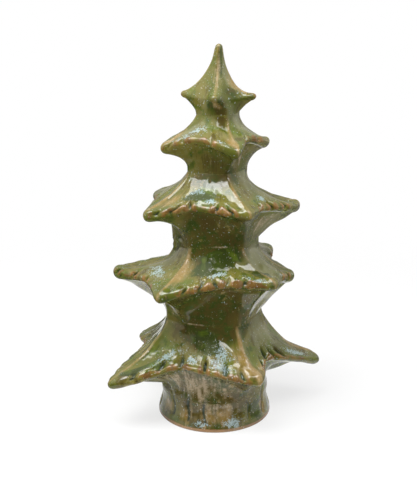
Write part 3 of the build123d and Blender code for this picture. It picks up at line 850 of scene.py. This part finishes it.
def tier_piece(tier, clay, materials):
    """One tier, pinched out and nicked along its rim, with its hollow and its tongue."""
    first_seed = TIER_SEED + TIERS.index(tier)
    *swell_seeds, cut_seed = range(first_seed, first_seed + SEED_STEP * TIER_DRAWS, SEED_STEP)
    azimuths = even_azimuths(tier)
    profile = tier_profile(tier, azimuths)
    places = around(profile, azimuths, axis_lean(tier, profile[..., 1]))
    steps = np.linalg.norm(np.diff(profile, axis=0), axis=-1)
    length = np.concatenate([np.zeros((1, len(azimuths))), np.cumsum(steps, axis=0)])
    from_seat = length[-1] - length
    flare_length = length[-UNDER_ROWS - LIP_ROWS - 1]
    along = length - flare_length
    surface = Surface(azimuths, profile[..., 0], along)

    tips = np.minimum(1, sum(ridge(azimuths, tip) for tip in tier.tips))
    pull = np.minimum(1, sum(tip.reach * ridge(azimuths, tip) for tip in tier.tips))
    rim_band = hump((along + RIM_ABOVE) / RIM_BAND)
    ridges, troughs = ridge_lines(tier, surface, flare_length)
    cuts, burrs = cut_marks(tier.cut, tier.nicks, surface, cut_seed)
    swell = pinched_swell(clay, places, surface, rim_band, swell_seeds)
    swell += (clay.crest * ridges - clay.trough * troughs) * ease(length, *CREST_START)
    swell *= min(1, tier.rim / FULL_RIM)
    swell += tier.cut.burr * burrs - tier.cut.depth * cuts
    for hollow, felt in spots(HOLLOWS[tier.name], surface):
        swell -= hollow.depth * felt
    swell *= ease(from_seat, 0, SEAM_FADE)
    if tier.neck is not point:
        swell *= ease(length, 0, SEAM_FADE)
    out = swell - (TIP_INSET + np.maximum(swell, 0)) * tips * rim_band
    for knob, felt in spots(KNOBS[tier.name], surface):
        out += knob.depth * felt * ease(length, 0, KNOB_FADE)
    if tier.seat is trunk_neck:
        foot = ease(along, *FOOT_GROOVES)
        grooves, banks = (foot * part for part in groove_marks(clay, azimuths, places[..., 2]))
        out -= clay.groove_depth * grooves
        cuts, burrs = np.maximum(cuts, grooves), np.maximum(burrs, banks)
    if not tier.nicks:
        melted = hump(along / MELT_BAND) * (1 - pull) * ease(from_seat, 0, MELT_FADE)
        places = slumped(places, MELT_ROWS, melted)
    places = pressed(slumped(places, ROLL_ROWS, rim_band), out)

    marks = glaze_marks(tier.name, surface, places)
    marks["ridge"] = ridges
    # Painted shade: darker below the rim's edge and just under the neck, most at the front and back and low
    # on the tree
    shade = np.maximum(ease(along, *RIM_SHADE), 1 - ease(length, *NECK_SHADE))
    marks["under"] = shade * neck_shade(azimuths, places[..., 2])
    marks["lip"] *= 1 - TIP_COVER * tips**2 if tier.nicks else SPIRE_LIP * pull**2
    marks["cut"] = cuts * tier.cut.depth / GOUGE.depth
    marks["burr"] = burrs
    rings = [places, turned(hollow_profile(tier), azimuths)]
    if tier.neck is not point:
        rings.append(places[:1])
    grid = np.concatenate(rings)
    make_piece(tier.name, f"{tier.name}_section", grid, len(places) - 1, marks, materials)


def trunk_piece(clay, materials):
    """The turned trunk, grooved down its sides, on a flat ring of bare clay."""
    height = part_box("trunk_section")[1].z
    azimuths = plain_azimuths(FOOT_RADIUS)
    levels = np.linspace(height, FOOT_EDGE, TRUNK_ROWS)
    waist = height * TRUNK_WAIST
    flare = np.clip((waist - levels) / (waist - FOOT_EDGE), 0, 1)
    radius = trunk_neck.radius + (FOOT_RADIUS - trunk_neck.radius) * ease(flare, *TRUNK_FLARE)
    corner = np.linspace(0, QUARTER, FOOT_EDGE_ROWS + 1)[1:]
    edge = pair(FOOT_RADIUS - FOOT_EDGE * (1 - np.cos(corner)), FOOT_EDGE * (1 - np.sin(corner)))
    line = np.concatenate([pair(radius, levels), edge])
    places = turned(line, azimuths)
    heights = places[..., 2]
    fade = ease(heights, *FOOT_FADE) * (1 - ease(heights, height - TRUNK_FADE, height))
    walls = lumps(places, TRUNK_WAVE, TRUNK_SEED)
    walls += TRUNK_SMALL_SHARE * lumps(places, TRUNK_SMALL_WAVE, TRUNK_SEED + 1)
    swell = clay.wobble * (TRUNK_SHARE * walls - TRUNK_SINK)
    grooves, banks = groove_marks(clay, azimuths, heights)
    surface = Surface(azimuths, FOOT_RADIUS, -heights)
    places = pressed(places, np.minimum(swell, 0) * fade - clay.groove_depth * grooves)
    marks = glaze_marks("trunk", surface, places)
    marks["lip"] = FOOT_LIP * (1 - ease(heights, *FOOT_BAND))
    marks["ridge"] = marks["shelf"] = np.zeros_like(heights)
    # Painted shade on the trunk, darkest near its top under the lowest tier and at the front and back
    marks["under"] = neck_shade(azimuths, heights) * (1 - TRUNK_LIGHT * ease(height - heights, *TRUNK_SHADE))
    marks["cut"], marks["burr"] = grooves, banks
    bore = trunk_neck.radius - WALL
    inside = [(FOOT_RADIUS - FOOT_RING, 0), (bore, height - TONGUE_DEPTH - SEAM), (bore, height)]
    grid = np.concatenate([places, turned(inside, azimuths), places[:1]])
    make_piece("trunk", "trunk_section", grid, len(line) - 2, marks, materials)


def seam_piece(name, neck, clay, materials):
    """The ring of slip at a neck, as wide as the two sections that it joins."""
    low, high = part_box(name)
    azimuths = plain_azimuths(neck.radius)
    levels = np.linspace(high.z, low.z, SEAM_ROWS)
    rise = (levels - low.z) / (high.z - low.z)
    outer = neck_radius(neck, azimuths)
    places = np.stack([around(pair(outer, level), azimuths, neck.lean) for level in levels])
    swell = clay.seam_sink * 4 * (rise * (1 - rise))[:, None] * lumps(places, SEAM_WAVE, SEAM_SEED)
    grooves, banks = groove_marks(clay, azimuths, places[..., 2])
    surface = Surface(azimuths, neck.radius, high.z - places[..., 2] + SEAM_ALONG)
    places = pressed(places, np.minimum(swell, 0) - clay.groove_depth * grooves)
    marks = glaze_marks(name, surface, places)
    for key in ("edge", "ridge", "lip", "shelf"):
        marks[key] = np.zeros(places.shape[:2])
    marks["cut"], marks["burr"] = grooves, banks
    # Painted shade in the ring of slip, as in the necks
    marks["under"] = neck_shade(azimuths, places[..., 2])
    bore = neck.radius - WALL
    inside = turned([(bore, low.z), (bore, high.z)], azimuths)
    grid = np.concatenate([places, inside, places[:1]])
    ring = name.replace("_seam", "_slip")
    make_piece(ring, name, grid, len(levels) - 1, marks, materials)


class Wire:
    """A socket of a node tree; sums and products of wires add their Math nodes."""

    def __init__(self, paint, socket):
        self.paint = paint
        self.socket = socket

    def math(self, operation, first, second):
        return self.paint.node("ShaderNodeMath", {"operation": operation}, {0: first, 1: second})

    def __add__(self, other):
        return self.math("ADD", self, other)

    def __sub__(self, other):
        return self.math("SUBTRACT", self, other)

    def __mul__(self, other):
        return self.math("MULTIPLY", self, other)

    def __rsub__(self, other):
        return self.math("SUBTRACT", other, self)

    __radd__ = __add__
    __rmul__ = __mul__

    def between(self, low, high):
        """A smooth step from 0 at low to 1 at high."""
        return self.paint.node(
            "ShaderNodeMapRange", {"interpolation_type": "SMOOTHSTEP"},
            {"Value": self, "From Min": low, "From Max": high})


class Paint:
    """The node tree of a material or a world, with a short way to add and join its nodes."""

    def __init__(self, owner, shader="Principled BSDF"):
        owner.use_nodes = True
        self.owner = owner
        self.tree = owner.node_tree
        self.shader = self.tree.nodes[shader]

    def node(self, kind, settings, inputs, output=0):
        made = self.tree.nodes.new(kind)
        for key, value in settings.items():
            setattr(made, key, value)
        for key, value in inputs.items():
            self.join(value, made.inputs[key])
        return Wire(self, made.outputs[output])

    def join(self, value, socket):
        if isinstance(value, Wire):
            self.tree.links.new(value.socket, socket)
        else:
            socket.default_value = value

    def feed(self, **inputs):
        """Gives the shader's inputs, named with _ for a space, their values or wires."""
        for key, value in inputs.items():
            self.join(value, self.shader.inputs[key.replace("_", " ")])

    def show(self, shader):
        """Puts a shader on the material's surface."""
        self.join(shader, self.tree.nodes["Material Output"].inputs["Surface"])

    def place(self):
        return self.node("ShaderNodeTexCoord", {}, {}, "Object")

    def mix(self, factor, first, second):
        """A colour between two others."""
        settings = {"data_type": "RGBA", "clamp_factor": True}
        colours = [c if isinstance(c, Wire) else (*c, 1) for c in (first, second)]
        return self.node("ShaderNodeMix", settings, {0: factor, 6: colours[0], 7: colours[1]}, 2)

    def mark(self, name, output="Fac"):
        return self.node("ShaderNodeAttribute", {"attribute_name": name}, {}, output)

    def noise(self, place, scale, detail=3, roughness=0.55, distortion=0):
        return self.node("ShaderNodeTexNoise", {"noise_dimensions": "3D"}, {
            "Vector": place, "Scale": scale, "Detail": detail, "Roughness": roughness,
            "Distortion": distortion})

    def flecks(self, place, scale, size, share):
        """Small round flecks, one in each cell that holds one, for a share of the cells."""
        settings = {"feature": "F1"}
        inputs = {"Vector": place, "Scale": scale, "Randomness": 1}
        distance = self.node("ShaderNodeTexVoronoi", settings, inputs, "Distance")
        cell = self.node("ShaderNodeTexVoronoi", settings, inputs, "Color")
        held = self.node("ShaderNodeSeparateColor", {}, {0: cell}, 0).between(1 - share, 1)
        return 1 - (distance - held * size).between(*SPECK_EDGE)

    def bump(self, strength, distance, height):
        inputs = {"Strength": strength, "Distance": distance, "Height": height}
        return self.node("ShaderNodeBump", {}, inputs)

    def glow(self, colour):
        return self.node("ShaderNodeEmission", {}, {"Color": colour, "Strength": 1.0})

    def seen(self):
        """1 for what the camera sees, straight or in a reflection or through glass, and 0 for light."""
        camera, glossy, glass = (
            self.node("ShaderNodeLightPath", {}, {}, f"Is {kind} Ray")
            for kind in ("Camera", "Glossy", "Transmission"))
        return camera.math("MAXIMUM", camera.math("MAXIMUM", camera, glossy), glass)


def glaze_material(name, glaze):
    """Glossy reactive glaze: mottled green, brown on edges, darker where it pools in the nicks, flecked with
    pale crystals, with shade painted under the rims and in the necks.
    """
    paint = Paint(bpy.data.materials.new(name))
    place = paint.place()
    flow = paint.mark("flow", "Vector")
    edge, hip, under, lip, shelf = (paint.mark(key) for key in ("edge", "ridge", "under", "lip", "shelf"))
    cuts, burrs = paint.mark("cut"), paint.mark("burr")
    frost, green, amber, film, dull, dusk, milk = (paint.mark(kind) for kind in BLOOMS)

    wide = paint.noise(place, 34, 4, 0.55, 0.4)
    patch = paint.noise(place, 95, 5, 0.6, 0.6)
    streak = paint.noise(flow, 300, 4, 0.6)
    ragged = paint.noise(place, 300, 6, 0.7)
    grain = paint.noise(place, 1100, 4, 0.7)
    tone = patch * 0.55 + streak * 0.45

    # The mottled body of the glaze
    colour = paint.mix(wide.between(0.38, 0.60), glaze.moss, glaze.olive)
    colour = paint.mix((wide * 0.5 + ragged * 0.5).between(0.53, 0.63) * 0.5, colour, glaze.sage)
    colour = paint.mix(patch.between(0.51, 0.64) * 0.75, colour, glaze.grass)
    colour = paint.mix(tone.between(0.53, 0.62) * 0.7, colour, glaze.deep)
    colour = paint.mix((1 - tone).between(0.53, 0.61) * 0.7, colour, glaze.umber)
    colour = paint.mix((milk + (ragged - 0.5) * 0.8).between(0.30, 0.80) * 0.75, colour, glaze.sage)

    # Painted shade under the rims and in the necks (the under mark and the painted shade spots), then the
    # clear green pools and the thin glaze on the ridges
    shade = paint.mix((ragged * 0.5 + patch * 0.5).between(0.46, 0.55), glaze.umber, glaze.deep)
    shade = paint.mix((wide * 0.4 + ragged * 0.6).between(0.54, 0.64) * 0.6, shade, glaze.amber)
    painted_shade_mask = (under + dusk * 0.9 + (patch - 0.5) * 0.8).between(0.15, 0.85)
    colour = paint.mix(painted_shade_mask * 0.85, colour, shade)
    clear = (green * 1.1 + (ragged - 0.5) * 0.9 + (patch - 0.5) * 0.6).between(0.40, 0.58)
    colour = paint.mix(clear * 0.85, colour, paint.mix(patch.between(0.48, 0.70), glaze.deep, glaze.grass))
    thin = (amber * 0.8 + hip * 0.62 + (streak - 0.5) * 1.1 + (patch - 0.5) * 1.2).between(0.30, 0.90)
    colour = paint.mix(thin * 0.75, colour, paint.mix(ragged.between(0.43, 0.62), glaze.amber, glaze.straw))

    # The clay that shows through on edges, and the pools in the nicks
    edges = lip * 0.5 + burrs * 0.35 + edge * 0.2
    bare = (edges + (ragged - 0.5) * 0.9 + (patch - 0.5) * 1.8).between(0.48, 0.85)
    clay = paint.mix(tone.between(0.47, 0.56), glaze.tan, glaze.rust)
    clay = paint.mix(lip.between(1.2, 1.8) * 0.6, clay, glaze.clay)
    colour = paint.mix(bare * 0.8, colour, clay)
    colour = paint.mix(cuts.between(0.3, 0.85) * 0.85, colour, glaze.pool)

    # The chalky film, the frost of crystals and the flecks that lie on top
    streaks = (streak - 0.5) * 1.8 + (ragged - 0.5) * 1.7 + (grain - 0.5) * 0.9
    chalk = (film * 0.75 + streaks).between(0.25, 1.05)
    colour = paint.mix(chalk * 0.8, colour, glaze.film)
    bloom = (frost * 0.60 + shelf * 0.14 + (ragged - 0.5) * 1.7 + (grain - 0.5) * 2.2).between(0.44, 0.72)
    colour = paint.mix(bloom * 0.78, colour, glaze.crystal)
    drawn = paint.node("ShaderNodeVectorMath", {"operation": "MULTIPLY"}, {0: place, 1: (1, 1, 0.7)})
    sown = paint.noise(place, 70, 3).between(0.36, 0.62)
    flecks = (paint.noise(drawn, 900, 2, 0.55) + sown * 0.05 - under * 0.01).between(0.692, 0.727)
    colour = paint.mix(flecks * 0.8, colour, paint.mix(grain.between(0.4, 0.6), glaze.crystal, glaze.film))

    island = (dull * 1.1 + (ragged - 0.5) * 1.3 + (patch - 0.5) * 0.6).between(0.46, 0.56)
    rough = glaze.roughness + (flecks * 0.2 + bloom * 0.3 + chalk * 0.25 + bare * 0.04 + island * 0.75)
    swell, ripple = paint.noise(place, 90, 2, 0.4), paint.noise(place, 330, 1, 0.4)
    relief = swell * 0.25 + ripple * 0.03 + bloom * 0.035 + flecks * 0.03
    paint.feed(Base_Color=colour, Roughness=rough, Normal=paint.bump(1.0, 0.001, relief))
    return paint.owner


def clay_material(name, glaze):
    """Bare fired stoneware, matte and finely speckled."""
    paint = Paint(bpy.data.materials.new(name))
    place = paint.place()
    cloud = paint.noise(place, 60, 4)
    grit = paint.noise(place, 1400, 3, 0.7)
    specks = paint.flecks(place, 500, 0.22, 0.25)
    colour = paint.mix(cloud.between(0.35, 0.65), glaze.clay, [0.72 * c for c in glaze.clay])
    colour = paint.mix(specks * 0.6, colour, glaze.rust)
    relief = paint.bump(0.4, 0.0004, grit + specks * 0.4)
    paint.feed(Base_Color=colour, Roughness=0.72 + (grit - 0.5) * 0.2, Normal=relief)
    return paint.owner


def finishes(glaze):
    """The glaze and the bare clay, made once and shared by every section."""
    makers = {"mottled_green_glaze": glaze_material, "bare_stoneware": clay_material}
    return [bpy.data.materials.get(name) or make(name, glaze) for name, make in makers.items()]


class TREE_OT_trunk(bpy.types.Operator):
    """Turn the trunk and groove its sides"""

    bl_idname = "tree.trunk"
    bl_label = "Turn the Trunk"

    def execute(self, context):
        scene = context.scene
        trunk_piece(scene.tree_clay, finishes(scene.tree_glaze))
        return {"FINISHED"}


class TREE_OT_tiers(bpy.types.Operator):
    """Pinch out the four tiers and the spire, and nick their rims"""

    bl_idname = "tree.tiers"
    bl_label = "Pinch the Tiers"

    def execute(self, context):
        scene = context.scene
        for tier in TIERS:
            tier_piece(tier, scene.tree_clay, finishes(scene.tree_glaze))
        return {"FINISHED"}


class TREE_OT_seams(bpy.types.Operator):
    """Lute the necks with rings of slip"""

    bl_idname = "tree.seams"
    bl_label = "Lute the Seams"

    def execute(self, context):
        scene = context.scene
        for name, neck in SEAMS:
            seam_piece(name, neck, scene.tree_clay, finishes(scene.tree_glaze))
        return {"FINISHED"}


def aloft(azimuth, elevation, distance):
    """A place in the room, seen from the middle of the tree."""
    turn, rise = math.radians(azimuth), math.radians(elevation)
    flat = distance * math.cos(rise)
    return Vector((flat * math.sin(turn), -flat * math.cos(turn), MIDDLE + distance * math.sin(rise)))


def softbox(lamp, power):
    """A soft square lamp that faces the middle of the tree."""
    light = bpy.data.lights.new(lamp.name, "AREA")
    light.shape = "SQUARE"
    light.size = lamp.size
    light.energy = power
    holder = bpy.data.objects.new(lamp.name, light)
    bpy.context.scene.collection.objects.link(holder)
    holder.location = aloft(lamp.azimuth, lamp.elevation, LAMP_DISTANCE)
    way = holder.location - Vector((0, 0, MIDDLE))
    holder.rotation_euler = way.to_track_quat("Z", "Y").to_euler()


def white_room(fill):
    """A world that shows as white, and lights the object softly."""
    world = bpy.data.worlds.new("white_room")
    paint = Paint(world, "Background")
    paint.feed(Color=WHITE, Strength=fill + paint.seen() * (1 - fill))
    bpy.context.scene.world = world


def pale_floor(colour):
    """A plain floor that keeps the object's shadow and, far from it, fades into the white room."""
    bpy.ops.object.select_all(action="DESELECT")
    bpy.ops.mesh.primitive_plane_add(size=FLOOR_SIZE)
    floor = bpy.context.object
    floor.name = "floor"
    paint = Paint(bpy.data.materials.new("pale_floor"))
    paint.feed(Base_Color=(*colour, 1), Roughness=FLOOR_ROUGHNESS, Specular_IOR_Level=0)
    away = paint.node("ShaderNodeVectorMath", {"operation": "LENGTH"}, {0: paint.place()}, "Value")
    seen = paint.seen()
    lit = Wire(paint, paint.shader.outputs[0])
    clear = paint.node("ShaderNodeBsdfTransparent", {}, {})
    shown = paint.node("ShaderNodeMixShader", {}, {0: seen * FLOOR_GLOW, 1: lit, 2: paint.glow(WHITE)})
    far = away.between(*FLOOR_FADE) * seen
    paint.show(paint.node("ShaderNodeMixShader", {}, {0: far, 1: shown, 2: clear}))
    floor.data.materials.append(paint.owner)


def reflected_cards():
    """Cloths that only the reflections in the glaze see, each with a level at its middle and its sides."""
    for card in CARDS:
        bpy.ops.object.select_all(action="DESELECT")
        bpy.ops.mesh.primitive_plane_add(size=1, location=card.middle, rotation=card.turn)
        sheet = bpy.context.object
        sheet.name = card.name
        sheet.scale = (*card.size, 1)
        paint = Paint(bpy.data.materials.new(card.name))
        across = paint.node("ShaderNodeSeparateXYZ", {}, {0: paint.place()}, 0)
        levels = ([level * part for part in LINEN] for level in (card.level, card.side_level))
        paint.show(paint.glow(paint.mix((across * across).between(*CARD_FADE), *levels)))
        sheet.data.materials.append(paint.owner)
        sheet.visible_camera = False
        sheet.visible_diffuse = False
        sheet.visible_transmission = False
        sheet.visible_shadow = False


class TREE_OT_stage(bpy.types.Operator):
    """Set the camera, the lamps, the white room and the floor"""

    bl_idname = "tree.stage"
    bl_label = "Set the Stage"

    def execute(self, context):
        scene = context.scene
        stage = scene.tree_stage
        camera = bpy.data.cameras.new("camera")
        camera.lens = stage.lens
        camera.sensor_width = SENSOR
        holder = bpy.data.objects.new("camera", camera)
        scene.collection.objects.link(holder)
        holder.location = (stage.camera_aside, -stage.camera_distance, stage.camera_height)
        holder.rotation_euler = (QUARTER - stage.camera_pitch, 0, 0)
        scene.camera = holder
        for lamp in LAMPS:
            softbox(lamp, getattr(stage, lamp.power))
        white_room(stage.fill)
        pale_floor(stage.floor)
        reflected_cards()
        scene.view_settings.view_transform = "Standard"
        return {"FINISHED"}


class TREE_PT_panel(bpy.types.Panel):
    """Makes the tree, piece by piece"""

    bl_label = "Stoneware Tree"
    bl_space_type = "VIEW_3D"
    bl_region_type = "UI"
    bl_category = "Tree"

    def draw(self, context):
        for operator in OPERATORS:
            self.layout.operator(operator.bl_idname)
        for settings in (context.scene.tree_clay, context.scene.tree_glaze, context.scene.tree_stage):
            for key in settings.__annotations__:
                self.layout.prop(settings, key)


GROUPS = (("tree_clay", TreeClay), ("tree_glaze", TreeGlaze), ("tree_stage", TreeStage))
OPERATORS = (TREE_OT_trunk, TREE_OT_tiers, TREE_OT_seams, TREE_OT_stage)


def register():
    for key, group in GROUPS:
        bpy.utils.register_class(group)
        setattr(bpy.types.Scene, key, PointerProperty(type=group))
    for operator in OPERATORS:
        bpy.utils.register_class(operator)
    bpy.utils.register_class(TREE_PT_panel)


def unregister():
    bpy.utils.unregister_class(TREE_PT_panel)
    for operator in reversed(OPERATORS):
        bpy.utils.unregister_class(operator)
    for key, group in reversed(GROUPS):
        delattr(bpy.types.Scene, key)
        bpy.utils.unregister_class(group)


def main():
    register()
    bpy.ops.tree.trunk()
    bpy.ops.tree.tiers()
    bpy.ops.tree.seams()
    bpy.ops.tree.stage()


if __name__ == "__main__":
    main()
